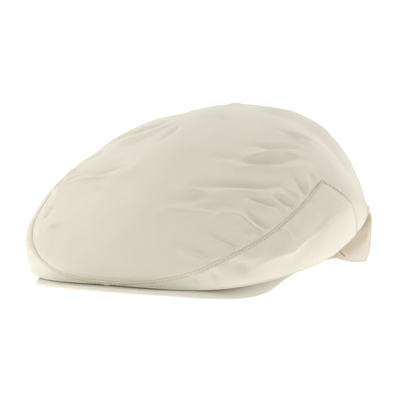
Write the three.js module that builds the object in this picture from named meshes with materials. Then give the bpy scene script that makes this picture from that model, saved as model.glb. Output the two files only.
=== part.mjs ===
// Flat cap of off-white waterproof cloth, with a one-piece top, two side panels and a short peak.
// Millimetres and degrees. +Z is up and the cap lies on z = 0. The front is -Y, the wearer's left is +X.
import * as THREE from 'three';

// Cloth and seams
const clothThickness = 1.6;
const peakThickness = 2.4;
const seamGap = 0.5;
const bandGap = 0.45;

// Crown: the direction is 0 at the front, 90 at the wearer's left and 180 at the back.
// The level runs from 0 at the top of the crown, through 1 at its widest line, to 2 at its lower edge.
const crownCentreY = 3;
const crownTopY = 44;
const crownTopHeight = 105;
const tuckTurn = 60;
const widestSoftness = 0.16;

// One row for each direction, the same on both sides. reach: radius of the widest line, and widest: its height.
// edge: height of the lower edge. tuck: how far that edge turns in, negative where it flares out.
// round and full: powers of the profile.
const crownSections = [
  { direction: 0, reach: 125, widest: 15, edge: 10.4, tuck: 1.2, round: 2.2, full: 1.2 },
  { direction: 30, reach: 121, widest: 23, edge: 8.2, tuck: 2, round: 2.05, full: 1.03 },
  { direction: 60, reach: 109, widest: 36, edge: 13.5, tuck: 6, round: 2, full: 1.1 },
  { direction: 90, reach: 103, widest: 51, edge: 20.5, tuck: 9, round: 2, full: 1.2 },
  { direction: 105, reach: 103.4, widest: 47, edge: 28, tuck: 5.5, round: 2.25, full: 1.15 },
  { direction: 120, reach: 104.2, widest: 43, edge: 39, tuck: -2.2, round: 2.55, full: 1.12 },
  { direction: 150, reach: 121, widest: 43, edge: 41.5, tuck: -1, round: 3.15, full: 1.66 },
  { direction: 180, reach: 133.1, widest: 49, edge: 38.5, tuck: 1, round: 3.1, full: 1.95 },
];

// Upper seam of a side panel, from the front centre to the pointed corner at the rear.
const sideSeam = [
  { direction: 0, level: 1.55 },
  { direction: 15.7, level: 1.33 },
  { direction: 31.5, level: 0.96 },
  { direction: 47.2, level: 0.82 },
  { direction: 63, level: 0.72 },
  { direction: 78.7, level: 0.66 },
];
// Back seam of a side panel, from that corner down to the lower edge. The panel ends at a tip just above the foot.
const backSeam = [
  { level: 0.66, direction: 78.7 },
  { level: 0.9, direction: 84 },
  { level: 1.2, direction: 90 },
  { level: 1.55, direction: 97 },
  { level: 2, direction: 106 },
];
const sideCorner = backSeam[0];
const backSeamFoot = backSeam[4];
const sidePanelTip = 0.86;
const frontSeamOffset = 0.12;

// Folds of the crown: ridges have a positive height and hollows a negative one, both in millimetres.
const crownFolds = [
  { from: [21, 0.39], to: [76, 0.47], width: 4.5, height: 1.8 },
  { from: [42, 0.42], to: [74, 0.51], width: 4.5, height: -2.4 },
  { from: [33, 0.42], to: [83, 0.58], width: 4.5, height: 1.5 },
  { from: [50, 0.35], to: [84, 0.43], width: 6, height: -1.3 },
  { from: [18, 0.49], to: [60, 0.57], width: 4.5, height: -1.5 },
  { from: [22, 0.53], to: [60, 0.64], width: 5, height: 1.5 },
  { from: [59, 0.57], to: [66, 0.8], width: 4, height: 1.6 },
  { from: [64, 0.56], to: [71, 0.78], width: 4.5, height: -2.2 },
  { from: [50, 0.6], to: [59, 0.86], width: 4, height: 1.4 },
  { from: [53, 0.6], to: [62, 0.84], width: 4, height: -1.7 },
  { from: [31, 0.6], to: [51, 0.86], width: 5, height: 1.6 },
  { from: [28, 0.69], to: [43, 0.92], width: 5, height: -1.6 },
  { from: [19, 0.76], to: [36, 0.95], width: 6, height: -1.4 },
  { from: [-84, 0.61], to: [-36, 0.42], width: 9, height: -2 },
  { from: [-56, 0.6], to: [-12, 0.46], width: 7, height: 1.3 },
  { from: [-68, 0.39], to: [-50, 0.23], width: 6, height: -1.2 },
  { from: [-46, 0.37], to: [-84, 0.54], width: 9, height: -2.6 },
  { from: [-5, 0.22], to: [-122, 0.26], width: 16, height: -2.6 },
  { from: [124, 0.18], to: [135, 0.33], width: 14, height: -3.4 },
  { from: [-96, 0.7], to: [-100, 0.3], width: 10, height: -1.5 },
  { from: [56, 1.24], to: [75, 0.88], width: 8, height: -1.4 },
  { from: [36, 1.5], to: [40, 1.05], width: 6, height: -0.9 },
  { from: [100, 0.9], to: [108, 1.8], width: 5, height: -1 },
  { from: [104, 0.82], to: [134, 0.95], width: 8, height: -2.4 },
  { from: [150, 0.75], to: [205, 0.85], width: 9, height: -1.6 },
];

const foldFade = { start: 1.6, end: 1.95 };

// Head opening: an oval ring of cloth. top and low: heights of its edges. bulge: how far it swells below the crown.
const openingCentreY = 25;
const openingHalfWidth = 90.5;
const openingHalfLength = 104;
const bandSections = [
  { direction: 0, top: 30, low: 7, bulge: 0 },
  { direction: 30, top: 28, low: 8, bulge: 0 },
  { direction: 60, top: 27, low: 14, bulge: 0 },
  { direction: 78, top: 27, low: 17.5, bulge: 0.5 },
  { direction: 90, top: 33, low: 11.5, bulge: 3 },
  { direction: 105, top: 38, low: 7.5, bulge: 5.2 },
  { direction: 120, top: 43, low: 4.8, bulge: 5.6 },
  { direction: 135, top: 45, low: 2.4, bulge: 5.5 },
  { direction: 150, top: 46, low: 0.5, bulge: 5 },
  { direction: 180, top: 44, low: 0, bulge: 4.5 },
];
const bandProfile = [
  { share: 0, swell: 0 },
  { share: 0.14, swell: 0 },
  { share: 0.3, swell: 0.9 },
  { share: 0.6, swell: 1 },
  { share: 0.8, swell: 0.85 },
  { share: 1, swell: 0.5 },
];

// Peak: its front edge is part of a rounded rectangle. outer, rim and inner: heights of its underside at its front
// edge, under the crown's edge and at the head opening. The rim droops, and the rest is nearly flat.
const peakReach = 139;
const peakHalfWidth = 83;
const peakSquareness = 2.3;
const peakEnd = 78;
const peakRim = 0.22;
const peakSections = [
  { direction: 0, outer: 7.2, rim: 7.6, inner: 7.6 },
  { direction: 24, outer: 5.6, rim: 6.2, inner: 7.6 },
  { direction: 40, outer: 2.4, rim: 5.5, inner: 8.4 },
  { direction: 54, outer: 0, rim: 6.2, inner: 9.4 },
  { direction: 64, outer: 1.1, rim: 8, inner: 10.4 },
  { direction: 78, outer: 9.3, rim: 11, inner: 12.4 },
];
// Rows of facets across the peak, as shares of the way in from its front edge to the opening
const peakRows = [1, 0.6, peakRim, 0.14, 0.06, 0];

// Small steps, in degrees of direction and in level, that measure the slope of the crown, and the first level to do so
const normalProbe = { aside: 1, down: 0.02, firstLevel: 0.03 };

// Number of facets along and across each piece
const facets = { front: 36, backSeam: 6, rear: 24, topRings: 20, sideRows: 6, band: 60, peak: 24 };

const clothColour = 0xddd6c8;
const bandColour = 0xd9ceb6;
const topCloth = new THREE.MeshStandardMaterial({ color: clothColour, roughness: 0.72, metalness: 0 });
const sideCloth = new THREE.MeshStandardMaterial({ color: clothColour, roughness: 0.72, metalness: 0 });
const peakCloth = new THREE.MeshStandardMaterial({ color: clothColour, roughness: 0.72, metalness: 0 });
const bandCloth = new THREE.MeshStandardMaterial({ color: bandColour, roughness: 0.8, metalness: 0 });

const radians = THREE.MathUtils.degToRad;
const mix = THREE.MathUtils.lerp;

// A smooth curve through one column of a table, level at both ends.
function smooth(rows, key, column, at) {
  const last = rows.length - 1;
  let i = 0;
  while (i < last - 1 && at > rows[i + 1][key]) i += 1;
  const slope = (k) => {
    if (k === 0 || k === last) return 0;
    return (rows[k + 1][column] - rows[k - 1][column]) / (rows[k + 1][key] - rows[k - 1][key]);
  };
  const span = rows[i + 1][key] - rows[i][key];
  const t = THREE.MathUtils.clamp((at - rows[i][key]) / span, 0, 1);
  const rise = rows[i + 1][column] - rows[i][column];
  const ease = t * t * (3 - 2 * t);
  return rows[i][column] + rise * ease + span * t * (1 - t) * (slope(i) * (1 - t) - slope(i + 1) * t);
}

// The same direction folded onto the half circle from 0 at the front to 180 at the back.
function mirrored(direction) {
  return Math.abs(THREE.MathUtils.euclideanModulo(direction + 180, 360) - 180);
}

// The crown's profile in one direction: an arch down to the widest line, then a tuck in to the lower edge.
function crownProfile(direction, level) {
  const section = (column) => smooth(crownSections, 'direction', column, mirrored(direction));
  const spread = Math.sin(Math.min(level, 1) * Math.PI / 2);
  const turn = radians(Math.max(level - 1, 0) * tuckTurn);
  const fullTurn = radians(tuckTurn);
  const tucked = section('tuck') * (1 - Math.cos(turn)) / (1 - Math.cos(fullTurn));
  const radius = spread * section('reach') - tucked;
  const arch = Math.max(1 - spread ** section('round'), 0) ** (1 / section('full'));
  const below = (section('widest') - section('edge')) * Math.sin(turn) / Math.sin(fullTurn);
  return new THREE.Vector3(
    radius * Math.sin(radians(direction)),
    mix(crownTopY, crownCentreY, spread) - radius * Math.cos(radians(direction)),
    mix(section('widest'), crownTopHeight, arch) - below,
  );
}

// The crown's outer surface without folds: the profile with its widest line softened.
function crownSurface(direction, level) {
  const soft = widestSoftness * Math.sin(level * Math.PI / 2);
  const middle = crownProfile(direction, level);
  const around = crownProfile(direction, level - soft).lerp(crownProfile(direction, level + soft), 0.5);
  return middle.lerp(around, 0.5);
}

// The direction that points straight out of that surface.
function crownNormal(direction, level) {
  if (level === 0) return new THREE.Vector3(0, 0, 1);
  const { aside, down: below, firstLevel } = normalProbe;
  const middle = Math.max(level, firstLevel);
  const round = crownSurface(direction + aside, middle).sub(crownSurface(direction - aside, middle));
  const down = crownSurface(direction, middle + below).sub(crownSurface(direction, middle - below));
  return down.cross(round).normalize();
}

// How far the folds lift or sink the cloth at one point of the crown, fading out towards the lower edge.
const foldLines = crownFolds.map((fold) => ({
  ...fold,
  start: crownSurface(...fold.from),
  run: crownSurface(...fold.to).sub(crownSurface(...fold.from)),
}));
function foldLift(point, normal, level) {
  let lift = 0;
  for (const { start, run, width, height } of foldLines) {
    const offset = point.clone().sub(start);
    const along = offset.dot(run) / run.lengthSq();
    if (along <= 0 || along >= 1) continue;
    offset.addScaledVector(run, -along);
    offset.addScaledVector(normal, -offset.dot(normal));
    lift += height * Math.sin(Math.PI * along) * Math.exp(-offset.lengthSq() / width ** 2);
  }
  return lift * (1 - THREE.MathUtils.smoothstep(level, foldFade.start, foldFade.end));
}

// A point of the crown's cloth with its normal.
function crownCloth(direction, level) {
  const point = crownSurface(direction, level);
  const normal = crownNormal(direction, level);
  point.addScaledVector(normal, foldLift(point, normal, level));
  return { point, normal };
}

// A closed wall between an outer and an inner grid of points, grid[column][row].
// A ring joins its last column to its first. A capped wall has one shared point in its first row.
function wall(name, outer, inner, material, { ring = false, capped = false } = {}) {
  const columns = outer.length;
  const rows = outer[0].length;
  const positions = [];
  const corner = [outer, inner].map((grid) => grid.map((column, i) => column.map((point, j) => {
    if (capped && j === 0 && i > 0) return -1;
    positions.push(point.x, point.y, point.z);
    return positions.length / 3 - 1;
  })));
  const at = (side, i, j) => corner[side][capped && j === 0 ? 0 : i % columns][j];
  const triangles = [];
  const quad = (a, b, c, d) => {
    if (a !== d) triangles.push(a, c, d);
    triangles.push(a, b, c);
  };
  const steps = ring ? columns : columns - 1;
  for (let i = 0; i < steps; i += 1) {
    for (let j = 0; j < rows - 1; j += 1) {
      quad(at(0, i, j), at(0, i, j + 1), at(0, i + 1, j + 1), at(0, i + 1, j));
      quad(at(1, i + 1, j), at(1, i + 1, j + 1), at(1, i, j + 1), at(1, i, j));
    }
    quad(at(0, i, rows - 1), at(1, i, rows - 1), at(1, i + 1, rows - 1), at(0, i + 1, rows - 1));
    if (!capped) quad(at(0, i + 1, 0), at(1, i + 1, 0), at(1, i, 0), at(0, i, 0));
  }
  for (let j = 0; j < rows - 1 && !ring; j += 1) {
    quad(at(0, 0, j), at(1, 0, j), at(1, 0, j + 1), at(0, 0, j + 1));
    quad(at(0, steps, j + 1), at(1, steps, j + 1), at(1, steps, j), at(0, steps, j));
  }
  const geometry = new THREE.BufferGeometry();
  geometry.setAttribute('position', new THREE.Float32BufferAttribute(positions, 3));
  geometry.setIndex(triangles);
  geometry.computeVertexNormals();
  const mesh = new THREE.Mesh(geometry, material);
  mesh.name = name;
  return mesh;
}

// The stations along a side panel's upper and back seams, as far as a share of the back seam.
function seamStations(backSeamEnd) {
  const stations = [];
  for (let i = 0; i < facets.front / 2; i += 1) {
    const direction = Math.max(sideCorner.direction * i / (facets.front / 2), frontSeamOffset);
    stations.push({ direction, level: smooth(sideSeam, 'direction', 'level', direction) });
  }
  for (let i = 0; i <= facets.backSeam; i += 1) {
    const share = Math.min(i / facets.backSeam, backSeamEnd);
    const level = mix(sideCorner.level, backSeamFoot.level, share);
    stations.push({ direction: smooth(backSeam, 'level', 'direction', level), level });
  }
  return stations;
}

// Top panel: a cap of rings from the top of the crown out to the seams, and down to the lower edge at the back.
function topPanel() {
  const left = seamStations(1);
  const right = left.map(({ direction, level }) => ({ direction: -direction, level })).reverse();
  const rear = [];
  for (let i = 1; i < facets.rear; i += 1) {
    const share = i / facets.rear;
    rear.push({ direction: mix(backSeamFoot.direction, 360 - backSeamFoot.direction, share), level: 2 });
  }
  const frontCentre = { direction: 0, level: sideSeam[0].level };
  const outline = [frontCentre, ...left.slice(1), ...rear, ...right.slice(0, -1)];
  const outer = [];
  const inner = [];
  for (const { direction, level } of outline) {
    const column = [];
    for (let j = 0; j <= facets.topRings; j += 1) {
      column.push(crownCloth(direction, level * j / facets.topRings));
    }
    outer.push(column.map(({ point }) => point));
    inner.push(column.map(({ point, normal }) => point.clone().addScaledVector(normal, -clothThickness)));
  }
  return wall('top_panel', outer, inner, topCloth, { ring: true, capped: true });
}

// The small step, square to the seam, that parts a side panel's edge from the top panel's edge.
function seamStep(edge, i, side) {
  const { point, normal } = edge[i];
  const inward = (a, b) => edge[b].point.clone().sub(edge[a].point).cross(normal).setLength(side);
  const before = inward(Math.max(i - 1, 0), Math.max(i, 1));
  const after = inward(Math.min(i, edge.length - 2), Math.min(i + 1, edge.length - 1));
  const scale = seamGap / (1 + before.dot(after));
  return point.clone().addScaledVector(before.add(after), scale);
}

// Side panel: from its seams down to the crown's lower edge, tapering to a tip at the rear.
// The side is 1 for the wearer's left and -1 for the wearer's right.
function sidePanel(name, side) {
  const stations = seamStations(sidePanelTip);
  const edge = stations.map(({ direction, level }) => crownCloth(side * direction, level));
  const outer = [];
  const inner = [];
  stations.forEach(({ direction, level }, i) => {
    const column = [];
    for (let j = 0; j <= facets.sideRows; j += 1) {
      column.push(crownCloth(side * direction, mix(level, 2, j / facets.sideRows)));
    }
    column[0].point = seamStep(edge, i, side);
    outer.push(column.map(({ point }) => point));
    inner.push(column.map(({ point, normal }) => point.clone().addScaledVector(normal, -clothThickness)));
  });
  if (side < 0) {
    outer.reverse();
    inner.reverse();
  }
  return wall(name, outer, inner, sideCloth);
}

// A point of the head opening's oval, pushed outwards by a distance.
function openingPoint(direction, outward, height) {
  const angle = radians(direction);
  const radius = 1 / Math.hypot(Math.sin(angle) / openingHalfWidth, Math.cos(angle) / openingHalfLength);
  const reach = radius + outward;
  return new THREE.Vector3(reach * Math.sin(angle), openingCentreY - reach * Math.cos(angle), height);
}

// Head band: a ring round the head opening, deep and slightly swollen at the back.
function headBand() {
  const outer = [];
  const inner = [];
  for (let i = 0; i < facets.band; i += 1) {
    const direction = 360 * i / facets.band;
    const section = (column) => smooth(bandSections, 'direction', column, mirrored(direction));
    const grid = (outward) => bandProfile.map(({ share, swell }) => {
      const height = Math.max(mix(section('top'), section('low'), share), 0);
      return openingPoint(direction, outward + swell * section('bulge'), height);
    });
    outer.push(grid(0));
    inner.push(grid(-clothThickness));
  }
  return wall('head_band', outer, inner, bandCloth, { ring: true });
}

// Peak: a curved plate from the front of the head opening to its own rounded front edge, where its rim droops.
function peak() {
  const upper = [];
  const lower = [];
  for (let i = 0; i <= facets.peak; i += 1) {
    const turn = mix(-peakEnd, peakEnd, i / facets.peak);
    const height = (column) => Math.max(smooth(peakSections, 'direction', column, Math.abs(turn)), 0);
    const power = 2 / peakSquareness;
    const sideways = Math.sign(turn) * peakHalfWidth * Math.abs(Math.sin(radians(turn))) ** power;
    const forwards = peakReach * Math.cos(radians(turn)) ** power;
    const front = new THREE.Vector3(sideways, crownCentreY - forwards, 0);
    const bearing = THREE.MathUtils.radToDeg(Math.atan2(front.x, openingCentreY - front.y));
    const back = openingPoint(bearing, bandGap, 0);
    const under = peakRows.map((inset) => {
      const point = front.clone().lerp(back, inset);
      const droop = Math.max(1 - inset / peakRim, 0) ** 2;
      const flat = mix(height('rim'), height('inner'), THREE.MathUtils.smoothstep(inset, peakRim, 1));
      return point.setZ(flat + (height('outer') - height('rim')) * droop);
    });
    lower.push(under);
    upper.push(under.map((point) => new THREE.Vector3(point.x, point.y, point.z + peakThickness)));
  }
  return wall('peak', upper, lower, peakCloth);
}

const cap = new THREE.Group();
cap.add(topPanel());
cap.add(sidePanel('side_panel_left', 1));
cap.add(sidePanel('side_panel_right', -1));
cap.add(peak());
cap.add(headBand());

export default cap;
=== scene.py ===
# Flat cap of off-white waterproof cloth: the looks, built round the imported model.
# Tables and sizes are in millimetres and degrees, as a cap maker would give them; the meshes are in metres.
import math

import bmesh
import bpy
import numpy as np
from mathutils import Matrix, Vector, noise
from mathutils.bvhtree import BVHTree


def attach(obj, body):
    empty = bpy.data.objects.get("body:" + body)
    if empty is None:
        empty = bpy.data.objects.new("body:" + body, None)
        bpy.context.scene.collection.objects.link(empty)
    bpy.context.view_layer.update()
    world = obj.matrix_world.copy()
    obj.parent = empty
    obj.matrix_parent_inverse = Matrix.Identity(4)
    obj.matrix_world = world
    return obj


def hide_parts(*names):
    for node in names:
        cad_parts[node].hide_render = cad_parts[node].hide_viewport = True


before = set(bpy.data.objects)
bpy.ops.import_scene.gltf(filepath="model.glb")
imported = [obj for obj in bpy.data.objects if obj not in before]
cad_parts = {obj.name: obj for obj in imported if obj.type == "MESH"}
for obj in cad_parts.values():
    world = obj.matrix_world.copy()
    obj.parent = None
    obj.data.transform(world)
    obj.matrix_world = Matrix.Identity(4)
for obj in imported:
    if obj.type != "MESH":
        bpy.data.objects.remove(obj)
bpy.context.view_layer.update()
mm = 0.001

# Camera, floor and light
# A long lens low in front of the cap, a little to the wearer's left. The cap lies on a glowing white ground
# in a bright studio, so most of the light comes from above, from the sides and back up off the ground.
view_azimuth = math.radians(26.68)
view_elevation = math.radians(6.06)
view_distance = 1268.75
aim = Vector((0, 3, 0))
aim_right = -1.73
aim_up = 46.73
camera_back = Vector((
    math.sin(view_azimuth) * math.cos(view_elevation),
    -math.cos(view_azimuth) * math.cos(view_elevation),
    math.sin(view_elevation),
))
camera_right = Vector((math.cos(view_azimuth), math.sin(view_azimuth), 0))
camera_up = camera_back.cross(camera_right)
camera_data = bpy.data.cameras.new("camera")
camera_data.lens = 180
camera_data.sensor_width = 36
camera_data.clip_start = 0.1
camera_data.clip_end = 200
camera = bpy.data.objects.new("camera", camera_data)
camera.location = (aim + camera_right * aim_right + camera_up * aim_up + camera_back * view_distance) * mm
camera.rotation_mode = "QUATERNION"
camera.rotation_quaternion = Matrix((camera_right, camera_up, camera_back)).transposed().to_quaternion()
bpy.context.scene.collection.objects.link(camera)
bpy.context.scene.camera = camera
bpy.context.scene.view_settings.view_transform = "Standard"


class Finish:
    """A socket in a material's nodes. Python's operators add Math nodes, and node() adds any other node."""

    def __init__(self, tree, socket=None):
        self.tree = tree
        self.socket = socket

    def node(self, kind, sockets, settings=None, output=0):
        made = self.tree.nodes.new("ShaderNode" + kind)
        for name, value in (settings or {}).items():
            setattr(made, name, value)
        for name, value in sockets.items():
            if isinstance(value, Finish):
                self.tree.links.new(value.socket, made.inputs[name])
            else:
                made.inputs[name].default_value = value
        return Finish(self.tree, made.outputs[output] if made.outputs else None)

    def sum_of(self, operation, first, second):
        return self.node("Math", {0: first, 1: second}, {"operation": operation})

    def __add__(self, other):
        return self.sum_of("ADD", self, other)

    def __radd__(self, other):
        return self.sum_of("ADD", other, self)

    def __sub__(self, other):
        return self.sum_of("SUBTRACT", self, other)

    def __rsub__(self, other):
        return self.sum_of("SUBTRACT", other, self)

    def __mul__(self, other):
        return self.sum_of("MULTIPLY", self, other)

    def __rmul__(self, other):
        return self.sum_of("MULTIPLY", other, self)


def new_finish(name):
    material = bpy.data.materials.new(name)
    material.use_nodes = True
    material.node_tree.nodes.clear()
    return material, Finish(material.node_tree)


def add_object(name, mesh, material):
    mesh.materials.append(material)
    made = bpy.data.objects.new(name, mesh)
    bpy.context.scene.collection.objects.link(made)
    return made


floor_size = 60
floor_glow = 1.12
floor_colour = (1, 0.957, 0.925, 1)
floor_paleness = 0.1
# The ground right under the cap is in its shade, so it gives back no light. Its patch is in metres. Its edge
# fades between two squares of the distance, measured in the patch's half widths and half lengths.
covered_ground = {
    "middle": (0, 0.02, 0), "half_width": 0.046, "half_length": 0.075, "fades_from": 0.7, "fades_to": 1.2,
}
floor_bmesh = bmesh.new()
bmesh.ops.create_grid(floor_bmesh, x_segments=1, y_segments=1, size=floor_size)
floor_mesh = bpy.data.meshes.new("floor")
floor_bmesh.to_mesh(floor_mesh)
floor_bmesh.free()
floor_paint, paint = new_finish("floor_paint")
ground = paint.node("TexCoord", {}, output="Object")
ground = paint.node("VectorMath", {0: ground, 1: covered_ground["middle"]}, {"operation": "SUBTRACT"})
across = paint.node("SeparateXYZ", {"Vector": ground}, output=0) * (1 / covered_ground["half_width"])
along = paint.node("SeparateXYZ", {"Vector": ground}, output=1) * (1 / covered_ground["half_length"])
uncovered = paint.node("MapRange", {
    "Value": across * across + along * along,
    "From Min": covered_ground["fades_from"],
    "From Max": covered_ground["fades_to"],
}, {"interpolation_type": "SMOOTHSTEP"})
floor_shader = paint.node("BsdfPrincipled", {
    "Base Color": (floor_paleness, floor_paleness, floor_paleness, 1),
    "Roughness": 1,
    "Specular IOR Level": 0,
    "Emission Color": floor_colour,
    "Emission Strength": uncovered * floor_glow,
})
paint.node("OutputMaterial", {"Surface": floor_shader})
floor = add_object("floor", floor_mesh, floor_paint)

# The studio is white all round, apart from the dim side where the photographer stands.
dim_side = Vector((0.48, -0.85, 0.3)).normalized()
dim_spread = {"from": 0.32, "to": 0.98}
dim_colour = (0.08, 0.085, 0.04, 1)
bright_colour = (1.095, 1.082, 1.08, 1)
world = bpy.data.worlds.new("studio")
bpy.context.scene.world = world
world.use_nodes = True
world.node_tree.nodes.clear()
studio = Finish(world.node_tree)
way = studio.node("TexCoord", {}, output="Generated")
towards = studio.node("VectorMath", {0: way, 1: dim_side}, {"operation": "DOT_PRODUCT"}, output="Value")
dimness = studio.node(
    "MapRange", {"Value": towards, "From Min": dim_spread["from"], "From Max": dim_spread["to"]},
    {"interpolation_type": "SMOOTHSTEP"},
)
glow = studio.node("Mix", {0: dimness, 6: bright_colour, 7: dim_colour}, {"data_type": "RGBA"}, output=2)
studio.node("OutputWorld", {"Surface": studio.node("Background", {"Color": glow, "Strength": 1})})

# A low softbox on the wearer's right lights the front of the cap from the side.
fill = bpy.data.lights.new("softbox_low", "AREA")
fill.shape = "DISK"
fill.size = 0.7
fill.energy = 2.4
fill.color = (1, 0.99, 0.95)
fill_holder = bpy.data.objects.new("softbox_low", fill)
fill_holder.location = (-0.5, -1.3, 0.05)
fill_holder.rotation_mode = "QUATERNION"
fill_holder.rotation_quaternion = fill_holder.location.to_track_quat("Z", "Y")
bpy.context.scene.collection.objects.link(fill_holder)

# Top panel
# One piece of proofed cotton from the front seam over the crown and down to the rim at the back.
# It lies loose over the head, so soft folds run back from the front and gather towards the left seam.
crown_centre_y = 3
crown_top_y = 44
crown_top_height = 105
tuck_turn = 60
widest_softness = 0.16
cloth_thickness = 1.4

# Direction: 0 at the front, 90 at the wearer's left, 180 at the back. Level: 0 at the top, 1 at the widest
# line and 2 at the lower edge. Reach and widest are the radius and height of the widest line. Edge and tuck
# are the height of the lower edge and how far it turns in. Round and full are the powers of the profile.
crown_sections = {
    "direction": (0, 30, 60, 90, 105, 120, 150, 180),
    "reach": (125, 121, 109, 103, 103.4, 104.2, 121, 133.1),
    "widest": (15, 23, 36, 51, 47, 43, 43, 49),
    "edge": (9.2, 7.8, 13.5, 21.2, 28.2, 38.2, 39.2, 38),
    "tuck": (1.2, 2, 6, 9, 5.5, -1.8, 1.6, 2),
    "round": (2.2, 2.05, 2, 2, 2.25, 2.55, 3.15, 3.1),
    "full": (1.2, 1.03, 1.1, 1.2, 1.15, 1.12, 1.66, 1.95),
}
# The side seam rises from the front to a corner, and the back seam runs down from there to the lower edge.
side_corner = 78.7
corner_level = 0.66
seam_foot = 106
side_seam = {
    "direction": (0, 15.7, 31.5, 47.2, 63, side_corner),
    "level": (1.55, 1.33, 0.96, 0.82, 0.72, corner_level),
}
back_seam = {
    "level": (corner_level, 0.72, 0.9, 1.2, 1.55, 1.92, 2),
    "direction": (side_corner, 81.6, 87.4, 93.2, 99, 104.6, seam_foot),
}
right_seam_drop = 0.035
seam_points_count = 600


# A smooth curve through one column of a table, read at some values of its key
def smooth(table, key, column, at):
    keys = np.array(table[key], float)
    values = np.array(table[column], float)
    slopes = np.zeros(len(keys))
    slopes[1:-1] = (values[2:] - values[:-2]) / (keys[2:] - keys[:-2])
    i = np.clip(np.searchsorted(keys, at) - 1, 0, len(keys) - 2)
    span = keys[i + 1] - keys[i]
    t = np.clip((at - keys[i]) / span, 0, 1)
    ease = t * t * (3 - 2 * t)
    bend = span * t * (1 - t) * (slopes[i] * (1 - t) - slopes[i + 1] * t)
    return values[i] + (values[i + 1] - values[i]) * ease + bend


def mirrored(direction):
    return np.abs(np.mod(direction + 180, 360) - 180)


def smoothstep(low, high, at):
    t = np.clip((at - low) / (high - low), 0, 1)
    return t * t * (3 - 2 * t)


def crown_profile(direction, level):
    reach, widest, edge, tuck, roundness, full = (
        smooth(crown_sections, "direction", column, mirrored(direction))
        for column in ("reach", "widest", "edge", "tuck", "round", "full")
    )
    spread = np.sin(np.minimum(level, 1) * math.pi / 2)
    turn = np.radians(np.maximum(level - 1, 0) * tuck_turn)
    full_turn = math.radians(tuck_turn)
    radius = spread * reach - tuck * (1 - np.cos(turn)) / (1 - math.cos(full_turn))
    arch = np.maximum(1 - spread ** roundness, 0) ** (1 / full)
    below = (widest - edge) * np.sin(turn) / math.sin(full_turn)
    centre = crown_top_y + (crown_centre_y - crown_top_y) * spread
    angle = np.radians(direction)
    return np.stack([
        radius * np.sin(angle),
        centre - radius * np.cos(angle),
        widest + (crown_top_height - widest) * arch - below,
    ], -1)


# The profile averaged with its neighbours above and below, so that the widest line is no crease
def crown_surface(direction, level):
    soft = widest_softness * np.sin(level * math.pi / 2)
    around = crown_profile(direction, level - soft) + crown_profile(direction, level + soft)
    return crown_profile(direction, level) / 2 + around / 4


def unit(vectors):
    return vectors / np.maximum(np.linalg.norm(vectors, axis=-1, keepdims=True), 1e-9)


def crown_normal(direction, level):
    aside, below, first_level = 1, 0.02, 0.03
    middle = np.maximum(level, first_level)
    round_it = crown_surface(direction + aside, middle) - crown_surface(direction - aside, middle)
    down = crown_surface(direction, middle + below) - crown_surface(direction, middle - below)
    out = unit(np.cross(down, round_it))
    out[level == 0] = (0, 0, 1)
    return out


# The cloth laid flat round the top of the crown, in millimetres, so that folds and weave keep their widths
def laid_flat(direction, level, steps=24):
    length = 0
    last = crown_surface(direction, level * 0)
    for step in range(1, steps + 1):
        here = crown_surface(direction, level * step / steps)
        length = length + np.linalg.norm(here - last, axis=-1)
        last = here
    angle = np.radians(direction)
    return np.stack([length * np.sin(angle), -length * np.cos(angle)], -1)


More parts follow.
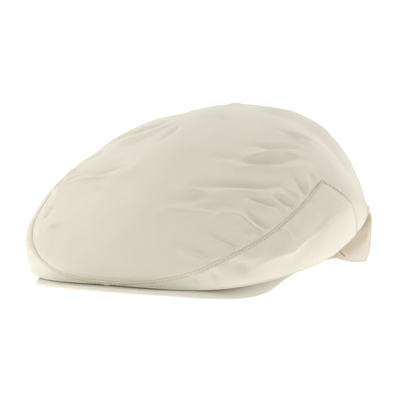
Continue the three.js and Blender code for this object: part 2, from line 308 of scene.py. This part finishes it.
# Where a fold runs, as directions and levels, how wide each flank is and how high it stands. A ridge is
# positive, and a narrow one has a sharp crest. A hollow is negative and has a soft floor.
widest_sharp_ridge = 3.5
fold_power = {"sharp": 1.4, "soft": 2}
height_at_fold_ends = 0.08
crown_folds = [
    {"path": [(45, 0.35), (51, 0.36), (59, 0.39), (68, 0.41), (78, 0.46)], "width": 3, "height": -2},
    {
        "path": [(30, 0.41), (39, 0.41), (47, 0.41), (56, 0.42), (65, 0.43), (71, 0.46), (77, 0.51)],
        "width": 2.6, "height": 2.3,
    },
    {"path": [(26, 0.39), (39, 0.41), (48, 0.44), (61, 0.47), (76, 0.5)], "width": 3.5, "height": -2.7},
    {
        "path": [(30, 0.41), (37, 0.45), (43, 0.46), (53, 0.49), (65, 0.53), (76, 0.56)],
        "width": 2.4, "height": 2.5,
    },
    {
        "path": [(18, 0.52), (32, 0.51), (38, 0.52), (44, 0.54), (49, 0.56), (56, 0.58), (60, 0.64)],
        "width": 2.8, "height": -2.9,
    },
    {
        "path": [
            (13, 0.54), (26, 0.55), (38, 0.56), (46, 0.59), (52, 0.61), (56, 0.64), (59, 0.69), (61, 0.75),
        ],
        "width": 2.3, "height": 2.5,
    },
    {"path": [(57, 0.59), (60, 0.64), (62, 0.68), (64, 0.74)], "width": 1.9, "height": 2.4},
    {"path": [(64, 0.57), (66, 0.65), (67, 0.73)], "width": 2.8, "height": -2.1},
    {"path": [(69, 0.6), (69, 0.66), (71, 0.69)], "width": 2, "height": 1.6},
    {"path": [(73, 0.59), (74, 0.65)], "width": 2, "height": -1.2},
    {"path": [(50, 0.59), (55, 0.66), (58, 0.7), (60, 0.76)], "width": 2.7, "height": -2.1},
    {"path": [(50, 0.63), (53, 0.68), (55, 0.73), (57, 0.78)], "width": 1.9, "height": 2.1},
    {"path": [(40, 0.57), (43, 0.6), (46, 0.62), (49, 0.65), (53, 0.68)], "width": 2.1, "height": -2},
    {"path": [(40, 0.6), (43, 0.63), (45, 0.65), (48, 0.68), (52, 0.71)], "width": 1.9, "height": 1.9},
    {"path": [(27, 0.59), (33, 0.6), (38, 0.63)], "width": 3.6, "height": -2},
    {
        "path": [
            (28, 0.66), (31, 0.64), (36, 0.66), (38, 0.68), (40, 0.72), (42, 0.76), (45, 0.81), (49, 0.88),
        ],
        "width": 1.9, "height": 2.5,
    },
    {"path": [(38, 0.62), (42, 0.69), (44, 0.73), (46, 0.76), (50, 0.83)], "width": 3, "height": -2.3},
    {"path": [(36, 0.73), (39, 0.76), (40, 0.8), (43, 0.83), (46, 0.88)], "width": 1.9, "height": 1.9},
    {"path": [(42, 0.77), (44, 0.81), (48, 0.87)], "width": 1.6, "height": -1.6},
    {"path": [(25, 0.7), (32, 0.78), (35, 0.83), (37, 0.87), (41, 0.94)], "width": 3.2, "height": -2.2},
    {"path": [(28, 0.77), (33, 0.83), (36, 0.89), (39, 0.95)], "width": 2.4, "height": 1.6},
    {"path": [(18, 0.78), (25, 0.84), (28, 0.88), (32, 0.95)], "width": 3, "height": -2},
    {"path": [(20, 0.83), (25, 0.89), (28, 0.96)], "width": 2.4, "height": 1.6},
    {"path": [(50, 0.76), (51, 0.81), (53, 0.86)], "width": 1.4, "height": 1.7},
    {"path": [(53, 0.84), (54, 0.9), (55, 1)], "width": 1.5, "height": 1.5},
    {
        "path": [(9, 0.65), (12, 0.62), (16, 0.62), (22, 0.63), (26, 0.63), (29, 0.65), (32, 0.69)],
        "width": 2.4, "height": 1.9,
    },
    {"path": [(13, 0.59), (19, 0.57), (23, 0.56), (30, 0.55)], "width": 3, "height": -1.8},
    {"path": [(22, 0.6), (31, 0.62)], "width": 2.6, "height": -1.5},
    {
        "path": [(-62, 0.72), (-47, 0.63), (-40, 0.57), (-27, 0.52), (-15, 0.51), (-9, 0.48)],
        "width": 5, "height": 3,
    },
    {"path": [(-64, 0.61), (-53, 0.54), (-37, 0.48), (-28, 0.46), (-13, 0.44)], "width": 5, "height": -3.6},
    {"path": [(-60, 0.72), (-54, 0.59), (-47, 0.53)], "width": 1.2, "height": -1.6},
    {"path": [(-76, 0.74), (-63, 0.57)], "width": 1, "height": -1.3},
    {"path": [(-41, 0.77), (-39, 0.71)], "width": 2.2, "height": -1.5},
    {"path": [(-46, 0.75), (-40, 0.69)], "width": 2, "height": 1.3},
    {"path": [(-33, 0.79), (-26, 0.73)], "width": 2.4, "height": 1.4},
    {"path": [(-24, 0.54), (-9, 0.55), (-3, 0.55)], "width": 6, "height": -1.3},
    {
        "path": [(-55, 0.43), (-42, 0.365), (-30, 0.32), (-22, 0.285), (-18, 0.22)],
        "width": 3.5, "height": 2.4,
    },
    {"path": [(-52, 0.41), (-67, 0.48), (-84, 0.56)], "width": 7, "height": -4.8},
    {"path": [(-76, 0.44), (-60, 0.34), (-47, 0.29), (-36, 0.235)], "width": 3, "height": -5},
    {"path": [(-8, 0.33), (-6, 0.29), (-8, 0.24)], "width": 3, "height": -1.6},
    {"path": [(-50, 0.13), (-100, 0.17), (-150, 0.14)], "width": 14, "height": -3.6},
    {"path": [(-172, 0.15), (-160, 0.17)], "width": 6, "height": 1.6},
    {"path": [(-130, 0.06), (165, 0.06)], "width": 2.4, "height": -2.4},
    {"path": [(118, 0.08), (125, 0.16), (130, 0.24), (134, 0.33)], "width": 13, "height": -6},
    {"path": [(136, 0.38), (134, 0.46), (132, 0.54)], "width": 8, "height": 2},
    {"path": [(76, 0.33), (86, 0.39), (96, 0.44)], "width": 2.6, "height": -1.9},
    {"path": [(74, 0.35), (82, 0.41), (90, 0.46)], "width": 2.4, "height": 1.3},
    {"path": [(100, 0.34), (117, 0.42)], "width": 4, "height": -1.5},
    {"path": [(15, 0.17), (25, 0.18), (36, 0.19)], "width": 4, "height": -1},
    {"path": [(-96, 0.7), (-100, 0.3)], "width": 9, "height": -2},
    {"path": [(58, 1.18), (66, 1.06), (73, 0.96)], "width": 4.5, "height": -2},
    {"path": [(43, 1.33), (55, 1.25), (66, 1.09), (72, 1.03)], "width": 3, "height": 1.8},
    {"path": [(45, 1.02), (52, 1.04)], "width": 4, "height": -1.4},
    {"path": [(34, 1.1), (40, 1.24)], "width": 4.5, "height": -2.5},
    {"path": [(29, 1.1), (31, 1.6)], "width": 3.4, "height": -1.2},
    {"path": [(23, 1.2), (26, 1.6)], "width": 3, "height": -1},
    {"path": [(99, 0.96), (103, 1.22), (107, 1.6)], "width": 4, "height": -2},
    {"path": [(104, 0.84), (134, 0.92)], "width": 9, "height": -3.2},
    {"path": [(150, 0.75), (205, 0.85)], "width": 9, "height": -2.4},
]


def fold_lift(flat):
    lift = np.zeros(len(flat))
    for fold in crown_folds:
        stops = np.array(fold["path"], float)
        stops = laid_flat(stops[:, 0], stops[:, 1])
        runs = np.diff(stops, axis=0)
        lengths = np.linalg.norm(runs, axis=-1)
        best = np.full(len(flat), 1e9)
        share = np.zeros(len(flat))
        for stop, run, length, before in zip(stops, runs, lengths, np.cumsum(lengths) - lengths):
            along = np.clip((flat - stop) @ run / length**2, 0, 1)
            away = np.linalg.norm(flat - stop - along[:, None] * run, axis=-1)
            nearer = away < best
            best = np.where(nearer, away, best)
            share = np.where(nearer, (before + along * length) / lengths.sum(), share)
        is_sharp = fold["height"] > 0 and fold["width"] < widest_sharp_ridge
        crest = np.exp(-(best / fold["width"]) ** fold_power["sharp" if is_sharp else "soft"])
        along_fold = height_at_fold_ends + (1 - 2 * height_at_fold_ends) * share
        lift += fold["height"] * np.sin(math.pi * along_fold) * crest
    return lift


# The seams that join the side panels to the top panel, as directions and levels. The right one runs a little
# lower than the left one along the side.
def seam_stations(count, side):
    share = np.linspace(0, 1, count)
    front_share = 0.8
    on_front = share <= front_share
    direction = side_corner * share / front_share
    level = smooth(side_seam, "direction", "level", direction)
    level = level + (right_seam_drop * np.sin(math.pi * direction / side_corner) if side < 0 else 0)
    foot_level = back_seam["level"][-1]
    back_share = (share - front_share) / (1 - front_share)
    back_level = corner_level + (foot_level - corner_level) * back_share
    direction = np.where(on_front, direction, smooth(back_seam, "level", "direction", back_level))
    return side * direction, np.where(on_front, level, back_level)


def seam_points(side):
    return crown_surface(*seam_stations(seam_points_count, side))


# The distances are worked out in batches of places, which keeps the arrays small.
def seam_distance(places, batches=60):
    joined = np.concatenate([seam_points(1), seam_points(-1)])
    return np.concatenate([
        np.linalg.norm(part[:, None] - joined[None], axis=-1).min(axis=1)
        for part in np.array_split(places, batches)
    ])


def ripple(places, size, seed):
    roughness, frequency_step, octaves = 1, 2, 2
    shift = Vector((seed, 0, 0))
    return np.array([
        noise.fractal(Vector(place) / size + shift, roughness, frequency_step, octaves) for place in places
    ])


# A grid of cloth. Its columns and rows are placed on the piece by their shares of the whole. Its flat chart
# is kept as the piece's own UV map, in metres, so that weave and marks keep their true sizes.
def cloth_sheet(name, columns, rows, spot_at, point_at, chart_at):
    sheet = bmesh.new()
    bmesh.ops.create_grid(sheet, x_segments=columns, y_segments=rows, size=0.5)
    shares = np.array([vertex.co for vertex in sheet.verts])[:, :2] + 0.5
    spots = spot_at(shares[:, 0], shares[:, 1])
    chart = chart_at(*spots)
    for vertex, point in zip(sheet.verts, point_at(*spots, chart)):
        vertex.co = point * mm
    laid_out = sheet.loops.layers.uv.new("laid_flat")
    for face in sheet.faces:
        for loop in face.loops:
            loop[laid_out].uv = chart[loop.vert.index] * mm
    bmesh.ops.remove_doubles(sheet, verts=sheet.verts, dist=1e-6)
    bmesh.ops.recalc_face_normals(sheet, faces=sheet.faces)
    for face in sheet.faces:
        face.smooth = True
    mesh = bpy.data.meshes.new(name)
    sheet.to_mesh(mesh)
    sheet.free()
    return mesh


def thicken(piece, thickness, inside):
    piece.data.materials.append(inside)
    wall = piece.modifiers.new("thickness", "SOLIDIFY")
    wall.thickness = thickness * mm
    wall.offset = -1
    wall.material_offset = 1


def bump(distance, width):
    return np.exp(-((distance / width) ** 2))


# A fold has its full height this far from a seam, and dies out between two levels near the lower edge.
fold_start = 4
fold_end = {"from": 1.6, "to": 1.95}
soft_ripples = [
    {"size": 26, "seed": 3, "height": 0.55},
    {"size": 9, "seed": 8, "height": 0.12},
]
seam_sink = 0.6
seam_valley = 5
rolled_edge = {"width": 0.8, "depth": 0.5}
centre_tuck = {"width": 1, "height": 0.9}
hem = {"in_from_edge": 0.7, "width": 0.5, "height": 0.45}


# The crown's cloth with its folds, its soft ripples and the valley that the seams pull into it
def crown_points(direction, level, flat, seam_detail):
    surface = crown_surface(direction, level)
    near_seam = seam_distance(surface)
    near_edge = smoothstep(fold_end["from"], fold_end["to"], level)
    fade = 1 - near_edge
    lift = fold_lift(flat) * fade * smoothstep(0, fold_start, near_seam)
    lift += sum(ripple(surface, row["size"], row["seed"]) * row["height"] * fade for row in soft_ripples)
    lift -= seam_sink * bump(near_seam, seam_valley)
    rolled = np.clip(1 - near_seam / rolled_edge["width"], 0, 1)
    lift -= rolled_edge["depth"] * rolled**2
    lift += centre_tuck["height"] * bump(mirrored(direction), centre_tuck["width"]) * near_edge
    widest, edge = (
        smooth(crown_sections, "direction", column, mirrored(direction)) for column in ("widest", "edge")
    )
    above_edge = (2 - level) * (widest - edge)
    lift += hem["height"] * bump(above_edge - hem["in_from_edge"], hem["width"])
    lift += seam_detail(near_seam, flat)
    return surface + crown_normal(direction, level) * lift[:, None]


top_columns = 360
top_rows = 120
edge_packing = 1.35
# How many points of the panel's outline lie on each seam and along the rim at the back
outline_points = {"left_seam": 170, "right_seam": 110, "rear": 90}
# Small gathers beside the seam: two crossed waves, in radians for each millimetre of the flat chart, which
# start just off the seam and die out away from it
pucker = {
    "short_waves": (0.5, 0.35), "long_waves": (0.13, -0.31), "shift": 1,
    "height": 0.22, "reach": 7, "from": 0.5, "full": 3,
}


def top_spots(across, down):
    outline_direction, outline_level = top_outline()
    place = across * (len(outline_direction) - 1)
    direction = np.interp(place, np.arange(len(outline_direction)), outline_direction)
    edge = np.interp(place, np.arange(len(outline_level)), outline_level)
    return direction, edge * (1 - (1 - down) ** edge_packing)


# The panel's edge as directions and levels, with most columns at the front left, where the folds are finest
def top_outline():
    left = seam_stations(outline_points["left_seam"], 1)
    right = seam_stations(outline_points["right_seam"], -1)
    rear = np.linspace(seam_foot, 360 - seam_foot, outline_points["rear"])[1:-1]
    direction = np.concatenate([left[0], rear, 360 + right[0][::-1]])
    level = np.concatenate([left[1], rear * 0 + 2, right[1][::-1]])
    return direction, level


def top_seam_detail(near_seam, flat):
    short_waves = np.sin(flat @ np.array(pucker["short_waves"]))
    long_waves = np.sin(flat @ np.array(pucker["long_waves"]) + pucker["shift"])
    beside_seam = np.exp(-near_seam / pucker["reach"]) * smoothstep(pucker["from"], pucker["full"], near_seam)
    return pucker["height"] * short_waves * long_waves * beside_seam


# The cotton's surface: noise for its uneven threads, its cloudy patches and its fine creases, and how much
# each of them adds to the colour and to the relief. The relief's height is in millimetres.
slub_noise = {"Scale": 900, "Detail": 3, "Roughness": 0.6}
cloud_noise = {"Scale": 38, "Detail": 4, "Roughness": 0.55}
crumple_noise = {"Scale": 130, "Detail": 3, "Roughness": 0.5}
tint_shares = {"cloud": 0.8, "slub": 0.2}
tint_range = {"From Min": 0.35, "From Max": 0.65}
relief_shares = {"weave": 0.18, "slub": 0.3, "crumple": 0.9}
relief_height = 0.35
relief_strength = 0.25
rough_spread = 0.12


def proofed_cotton(name, colour, shade_colour, weave=0.55, rough=0.74, marks_and_shade=None):
    material, cloth = new_finish(name)
    flat = cloth.node("UVMap", {}, {"uv_map": "laid_flat"})
    place = cloth.node("TexCoord", {}, output="Object")
    per_thread = 2 * math.pi / (weave * mm)
    turns = [cloth.node("SeparateXYZ", {0: flat}, output=k) * per_thread for k in (0, 1)]
    warp, weft = (cloth.node("Math", {0: turn}, {"operation": "SINE"}) for turn in turns)
    slub, cloud, crumple = (
        cloth.node("TexNoise", {"Vector": place, **texture})
        for texture in (slub_noise, cloud_noise, crumple_noise)
    )
    patches = cloud * tint_shares["cloud"] + slub * tint_shares["slub"]
    tint = cloth.node("MapRange", {"Value": patches, **tint_range})
    base = cloth.node("Mix", {0: tint, 6: shade_colour, 7: colour}, {"data_type": "RGBA"}, output=2)
    # The optional function adds painted shade to the colour, and on the band a seam line too.
    base = marks_and_shade(cloth, flat, base) if marks_and_shade else base
    threads = warp * weft * relief_shares["weave"] + slub * relief_shares["slub"]
    relief = threads + crumple * relief_shares["crumple"]
    grain = cloth.node("Bump", {
        "Height": relief, "Strength": relief_strength, "Distance": relief_height * mm,
    })
    shader = cloth.node("BsdfPrincipled", {
        "Base Color": base,
        "Roughness": slub * rough_spread + (rough - rough_spread / 2),
        "Specular IOR Level": 0.28,
        "Sheen Weight": 0.12,
        "Sheen Roughness": 0.5,
        "Normal": grain,
    })
    cloth.node("OutputMaterial", {"Surface": shader})
    return material


crown_cotton = proofed_cotton("crown_cotton", (0.88, 0.854, 0.75, 1), (0.856, 0.832, 0.73, 1))
# The back of the cloth is much darker than its face: painted shade for the dim inside of the cap, which also
# keeps the gap above the peak dark.
shaded_cotton_back = proofed_cotton("shaded_cotton_back", (0.6, 0.56, 0.49, 1), (0.55, 0.515, 0.45, 1), rough=0.85)
top_mesh = cloth_sheet(
    "top_panel_cloth", top_columns, top_rows, top_spots,
    lambda *spots: crown_points(*spots, top_seam_detail), laid_flat,
)
top_cloth = add_object("top_panel_cloth", top_mesh, crown_cotton)
thicken(top_cloth, cloth_thickness, shaded_cotton_back)
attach(top_cloth, "root")
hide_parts("top_panel")

# Side panels
# One piece of the same cotton on each side, from the front centre to a pointed corner behind the ear. Each is
# sewn to the top panel. Its seam allowance is turned down and topstitched, which raises a small ridge.
side_columns = 300
side_rows = 76
row_packing = 1.7
hem_packing = 1.35
seam_step = 0.0025
topstitch_inset = 1.5
# The turned-down allowance: how far below the seam each ridge or dip lies, how wide it is and how high
seam_relief = [
    {"below": 0.8, "width": 0.45, "height": 0.45},
    {"below": topstitch_inset, "width": 0.4, "height": -0.45},
    {"below": 3, "width": 1, "height": 0.15},
]


def side_spots(side):
    def spots(across, down):
        direction, level = seam_stations(side_columns + 1, side)
        place = across * side_columns
        stations = np.arange(side_columns + 1)
        direction = np.interp(place, stations, direction)
        edge = np.interp(place, stations, level)
        share = seam_step + (1 - seam_step) * (1 - (1 - down**row_packing) ** hem_packing)
        return direction, edge + (2 - edge) * share
    return spots


def side_seam_detail(near_seam, flat):
    return sum(row["height"] * bump(near_seam - row["below"], row["width"]) for row in seam_relief)


side_cloths = {}
for side_name, side in (("left", 1), ("right", -1)):
    side_mesh = cloth_sheet(
        f"side_panel_{side_name}_cloth", side_columns, side_rows, side_spots(side),
        lambda *spots: crown_points(*spots, side_seam_detail), laid_flat,
    )
    side_cloth = add_object(f"side_panel_{side_name}_cloth", side_mesh, crown_cotton)
    thicken(side_cloth, cloth_thickness, shaded_cotton_back)
    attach(side_cloth, "root")
    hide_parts(f"side_panel_{side_name}")
    side_cloths[side_name] = side_cloth

# Head band
# A ring of softer cotton round the head opening. It is deep at the back, where it hangs below the rim and
# gathers into soft upright folds, and shallow at the front, where the peak and the crown hide it.
opening_centre_y = 25
opening_half_width = 90.5
opening_half_length = 104
band_columns = 320
band_rows = 28
band_thickness = 1.4
band_sections = {
    "direction": (0, 30, 60, 78, 90, 105, 120, 135, 150, 180),
    "top": (30, 28, 27, 27, 33, 38, 43, 45, 46, 44),
    "low": (7, 8, 13, 14.8, 10.4, 7.2, 4.8, 2.4, 0.5, 0),
    "bulge": (0, 0, 0, 0.5, 3, 5.2, 5.6, 5.5, 5, 4.5),
}
band_profile = {"share": (0, 0.12, 0.2, 0.32, 0.6, 0.8, 1), "swell": (0, 0.2, 0.95, 1.06, 1, 0.85, 0.5)}
# The upright folds at the back: between which directions and shares of the height they grow, and their waves
gathers = {
    "first": 95, "full": 112, "depth": 0.9, "from_share": 0.15, "full_share": 0.6,
    "waves": 34, "unevenness": 2, "uneven_waves": 5, "groups": 13,
}
band_ripple = {"size": 14, "seed": 5, "height": 0.8, "from_share": 0.1, "full_share": 0.5}


def opening_point(direction, outward, height):
    angle = np.radians(direction)
    radius = 1 / np.hypot(np.sin(angle) / opening_half_width, np.cos(angle) / opening_half_length)
    reach = radius + outward
    return np.stack([reach * np.sin(angle), opening_centre_y - reach * np.cos(angle), height], -1)


def band_spots(across, down):
    return across * 360, down


def band_points(direction, share, flat):
    top, low, bulge = (
        smooth(band_sections, "direction", column, mirrored(direction)) for column in ("top", "low", "bulge")
    )
    height = top + (low - top) * share
    swell = smooth(band_profile, "share", "swell", share) * bulge
    gathered = smoothstep(gathers["first"], gathers["full"], mirrored(direction))
    gathered = gathered * smoothstep(gathers["from_share"], gathers["full_share"], share)
    angle = np.radians(direction)
    uneven = gathers["unevenness"] * np.sin(angle * gathers["uneven_waves"])
    waves = np.sin(angle * gathers["waves"] + uneven) * np.sin(angle * gathers["groups"])
    soft = ripple(opening_point(direction, 0, height), band_ripple["size"], band_ripple["seed"])
    soft = soft * band_ripple["height"]
    soft = soft * smoothstep(band_ripple["from_share"], band_ripple["full_share"], share)
    outward = swell + gathered * gathers["depth"] * waves + soft
    return opening_point(direction, outward, height)


# The band's chart measures down from the crown's edge. Just under that edge its cloth is darker, a painted
# shadow of the crown's overhang, and a short seam slants down from it. The seam's sides and lower end are a
# little soft.
painted_rim_shadow_colour = (0.65, 0.575, 0.445, 1)
seam_colour = (0.33, 0.25, 0.2, 1)
painted_rim_shadow_depth = 9
band_seam = {
    "from_back": 179.1, "slant": 1.4, "depth": 4.6, "soft_end": 0.6, "half_width": 0.4, "fades_out_at": 0.9,
}


def band_chart(direction, share):
    edge, top, low = (
        smooth(table, "direction", column, mirrored(direction))
        for table, column in ((crown_sections, "edge"), (band_sections, "top"), (band_sections, "low"))
    )
    below_edge = edge - top + (top - low) * share
    return np.stack([(np.radians(direction) - math.pi) * opening_half_length, below_edge], -1)


def band_painted_shadow_and_seam(cloth, flat, base):
    around = cloth.node("SeparateXYZ", {0: flat}, output=0)
    from_back = cloth.node("Math", {0: around}, {"operation": "ABSOLUTE"})
    below_edge = cloth.node("SeparateXYZ", {0: flat}, output=1)
    clear = cloth.node("MapRange", {
        "Value": below_edge, "From Min": 0, "From Max": painted_rim_shadow_depth * mm,
    }, {"interpolation_type": "SMOOTHSTEP"})
    # Painted shadow: the colour darkens over a few millimetres just below the crown's edge.
    shaded = cloth.node("Mix", {0: clear, 6: painted_rim_shadow_colour, 7: base}, {"data_type": "RGBA"}, output=2)
    aside = from_back + below_edge * band_seam["slant"] - band_seam["from_back"] * mm
    off_seam = cloth.node("Math", {0: aside}, {"operation": "ABSOLUTE"})
    on_seam = cloth.node("MapRange", {
        "Value": off_seam,
        "From Min": band_seam["fades_out_at"] * mm,
        "From Max": band_seam["half_width"] * mm,
    })
    within_depth = cloth.node("MapRange", {
        "Value": below_edge,
        "From Min": (band_seam["depth"] + band_seam["soft_end"]) * mm,
        "From Max": band_seam["depth"] * mm,
    })
    seam = on_seam * within_depth
    return cloth.node("Mix", {0: seam, 6: shaded, 7: seam_colour}, {"data_type": "RGBA"}, output=2)


band_cotton = proofed_cotton(
    "band_cotton", (0.815, 0.755, 0.65, 1), (0.785, 0.725, 0.615, 1), weave=0.5, rough=0.8, marks_and_shade=band_painted_shadow_and_seam,
)
band_mesh = cloth_sheet("head_band_cloth", band_columns, band_rows, band_spots, band_points, band_chart)
band_cloth = add_object("head_band_cloth", band_mesh, band_cotton)
thicken(band_cloth, band_thickness, band_cotton)
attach(band_cloth, "root")
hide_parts("head_band")

# Peak
# A stiff card covered with the same cotton, sewn under the front of the crown. Only a narrow strip of it
# shows below the crown's front edge, pale along its rounded rim and darker further in, where the crown's
# shadow is painted.
peak_reach = 139
peak_half_width = 83
peak_squareness = 2.3
peak_end = 78
peak_thickness = 2.3
peak_edge_round = 1.2
peak_end_round = 1.6
rim_share = 0.22
peak_columns = 240
peak_rows = 72
peak_edge_packing = 1.8
peak_gap_from_opening = 0.45
# Outer, rim and inner are the heights of its underside at its front edge, under the crown's edge and at the
# head opening.
peak_sections = {
    "direction": (0, 24, 40, 54, 64, peak_end),
    "outer": (7.2, 5.6, 2.4, 0, 1.1, 9.3),
    "rim": (6.4, 5.5, 5.1, 6.2, 8, 11),
    "inner": (6.8, 7, 8.4, 9.4, 10.4, 12.4),
}


# The rows of the peak run over its top from the head opening to the front edge, round it and back underneath.
def peak_spots(across, down):
    return (across * 2 - 1) * peak_end, down * 2 - 1


def peak_edges(turn):
    outer, inner = (
        smooth(peak_sections, "direction", column, np.abs(turn)) for column in ("outer", "inner")
    )
    power = 2 / peak_squareness
    sideways = np.sign(turn) * peak_half_width * np.abs(np.sin(np.radians(turn))) ** power
    forwards = peak_reach * np.cos(np.radians(turn)) ** power
    front = np.stack([sideways, crown_centre_y - forwards, outer], -1)
    bearing = np.degrees(np.arctan2(front[:, 0], opening_centre_y - front[:, 1]))
    return front, opening_point(bearing, peak_gap_from_opening, inner)


# The middle of the peak's thickness at some distance in from its front edge: a drooping rim, then nearly flat
def peak_middle(turn, inset):
    front, behind = peak_edges(turn)
    rim = smooth(peak_sections, "direction", "rim", np.abs(turn))
    share = inset / np.linalg.norm(behind - front, axis=-1)
    middle = front + (behind - front) * share[:, None]
    droop = np.clip(1 - share / rim_share, 0, 1) ** 2
    flat = rim + (behind[:, 2] - rim) * smoothstep(rim_share, 1, share)
    middle[:, 2] = flat + (front[:, 2] - rim) * droop + peak_thickness / 2
    return middle


def rounded(inset, radius):
    return np.sqrt(1 - (1 - np.clip(inset / radius, 0, 1)) ** 2)


def peak_points(turn, lap, flat):
    front, behind = peak_edges(turn)
    depth = np.linalg.norm(behind - front, axis=-1)
    inset = depth * np.abs(lap) ** peak_edge_packing
    half = peak_thickness / 2 * rounded(inset, peak_edge_round) * rounded(depth - inset, peak_edge_round)
    half *= rounded(peak_end - np.abs(turn), peak_end_round)
    point = peak_middle(turn, inset)
    point[:, 2] += np.where(lap < 0, half, -half)
    return point


# The peak's chart measures in from its front edge. There its cloth is pale; near the crown a painted shadow
# darkens it.
edge_length_per_degree = 1.75
painted_crown_shade = {"from": 1.5, "to": 13}
painted_crown_shade_colour = (0.66, 0.62, 0.46, 1)


def peak_chart(turn, lap):
    front, behind = peak_edges(turn)
    inset = np.linalg.norm(behind - front, axis=-1) * np.abs(lap) ** peak_edge_packing
    return np.stack([turn * edge_length_per_degree, np.sign(lap) * inset], -1)


def peak_painted_shade(cloth, flat, base):
    in_from_edge = cloth.node("SeparateXYZ", {0: flat}, output=1)
    inset = cloth.node("Math", {0: in_from_edge}, {"operation": "ABSOLUTE"})
    inwards = cloth.node("MapRange", {
        "Value": inset, "From Min": painted_crown_shade["from"] * mm, "From Max": painted_crown_shade["to"] * mm,
    }, {"interpolation_type": "SMOOTHSTEP"})
    # Painted shadow of the crown: the colour darkens from the rounded rim inwards.
    return cloth.node("Mix", {0: inwards, 6: base, 7: painted_crown_shade_colour}, {"data_type": "RGBA"}, output=2)


peak_cotton = proofed_cotton("peak_cotton", (0.93, 0.915, 0.83, 1), (0.905, 0.89, 0.8, 1), marks_and_shade=peak_painted_shade)
peak_mesh = cloth_sheet("peak_cloth_cover", peak_columns, peak_rows, peak_spots, peak_points, peak_chart)
peak_cloth = add_object("peak_cloth_cover", peak_mesh, peak_cotton)
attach(peak_cloth, "root")
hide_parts("peak")

# Stitching
# A single line of lockstitch in darker thread runs just below each side seam, and follows its cloth. It stops
# where the seam turns so sharply at the corner that the line would lie too close to it.
stitch = {"pitch": 2.7, "length": 2.1, "radius": 0.11, "look_ahead": 0.5}
least_share_of_inset = 0.93
thread_twist = {"Scale": 2500, "Detail": 1}
thread_shade = 0.8


def thread_finish(name, colour):
    material, thread = new_finish(name)
    place = thread.node("TexCoord", {}, output="Object")
    twist = thread.node("TexNoise", {"Vector": place, **thread_twist})
    darker = [part * thread_shade for part in colour[:3]] + [1]
    tint = thread.node("Mix", {0: twist, 6: darker, 7: colour}, {"data_type": "RGBA"}, output=2)
    shader = thread.node("BsdfPrincipled", {"Base Color": tint, "Roughness": 0.6, "Specular IOR Level": 0.3})
    thread.node("OutputMaterial", {"Surface": shader})
    return material


thread_material = thread_finish("thread", (0.4, 0.36, 0.28, 1))


def stitch_line(name, path, cloth_object):
    tree_of_cloth = bmesh.new()
    tree_of_cloth.from_mesh(cloth_object.data)
    nearest = BVHTree.FromBMesh(tree_of_cloth)
    tree_of_cloth.free()
    steps = np.linalg.norm(np.diff(path, axis=0), axis=-1)
    gone = np.concatenate([[0], np.cumsum(steps)])
    marks = np.arange(stitch["pitch"], gone[-1], stitch["pitch"])
    middles = np.stack([np.interp(marks, gone, path[:, k]) for k in range(3)], -1)
    ahead = np.stack([np.interp(marks + stitch["look_ahead"], gone, path[:, k]) for k in range(3)], -1)
    line = bmesh.new()
    for middle, forward in zip(middles, ahead - middles):
        spot, out, _, _ = nearest.find_nearest(Vector(middle) * mm)
        along = Vector(forward)
        along = (along - out * along.dot(out)).normalized()
        across = out.cross(along)
        turn = Matrix((along, across, out)).transposed().to_4x4()
        size = Matrix.Diagonal((stitch["length"] / 2 * mm, stitch["radius"] * mm, stitch["radius"] * mm, 1))
        bmesh.ops.create_uvsphere(
            line, u_segments=6, v_segments=4, radius=1, matrix=Matrix.Translation(spot) @ turn @ size
        )
    for face in line.faces:
        face.smooth = True
    mesh = bpy.data.meshes.new(name)
    line.to_mesh(mesh)
    line.free()
    made = add_object(name, mesh, thread_material)
    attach(made, "root")


for side_name, side in (("left", 1), ("right", -1)):
    stations = seam_stations(seam_points_count, side)
    seam = crown_surface(*stations)
    forward = unit(np.gradient(seam, axis=0))
    inward = unit(np.cross(forward, crown_normal(*stations))) * side
    path = seam + inward * topstitch_inset
    from_seam = np.linalg.norm(path[:, None] - seam[None], axis=-1).min(axis=1)
    clear = from_seam > topstitch_inset * least_share_of_inset
    stitch_line(f"seam_stitches_{side_name}", path[clear], side_cloths[side_name])
